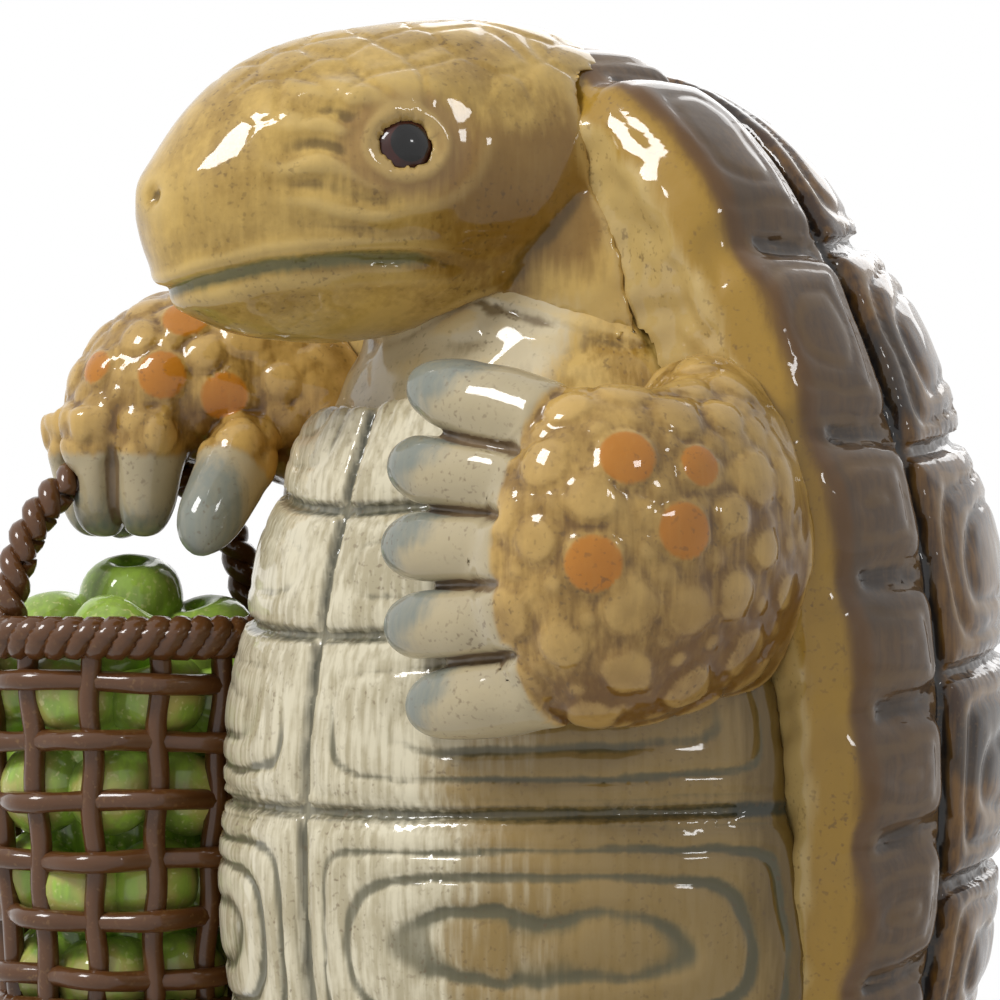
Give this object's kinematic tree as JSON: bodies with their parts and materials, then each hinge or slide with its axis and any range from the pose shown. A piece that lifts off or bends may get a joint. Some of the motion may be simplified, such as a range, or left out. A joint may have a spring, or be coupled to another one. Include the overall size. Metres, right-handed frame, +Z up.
{
  "type": "turtle figurine",
  "caption": "Upright tortoise ornament in glazed earthenware that holds a basket of apples and stands on an oval plinth.",
  "frame": {"origin": "middle of the flat underside of the plinth", "axes": "+Z up through the figure, -Y the way its chest faces, +X towards its left side"},
  "size_m": [0.0647, 0.0571, 0.0888],
  "materials": {
    "plinth_glaze": "glossy lead-look glaze over olive underglaze on earthenware",
    "skin_glaze": "glossy glaze over yellow-ochre underglaze on earthenware",
    "belly_glaze": "glossy glaze over cream slip with grey-blue brushed seams",
    "shell_glaze": "glossy glaze over brown and tan underglaze, darker in the seams",
    "head_glaze": "glossy glaze over olive-ochre underglaze, brown on the cheek",
    "eye_glaze": "glossy dark brown glaze with a black pupil",
    "limb_glaze": "glossy glaze over ochre underglaze, orange bosses and blue-grey claws",
    "basket_glaze": "glossy dark brown glaze on moulded wickerwork",
    "fruit_glaze": "glossy green glaze"
  },
  "bodies": {
    "root": {"plinth": "plinth_glaze", "body": "skin_glaze", "belly_plate": "belly_glaze", "shell": "shell_glaze", "head": "head_glaze", "left_eye": "eye_glaze", "right_eye": "eye_glaze", "left_forelimb": "limb_glaze", "right_forelimb": "limb_glaze", "left_hind_limb": "limb_glaze", "right_hind_limb": "limb_glaze", "tail": "limb_glaze", "basket": "basket_glaze", "basket_handle": "basket_glaze", "fruit": "fruit_glaze"}
  },
  "joints": []
}
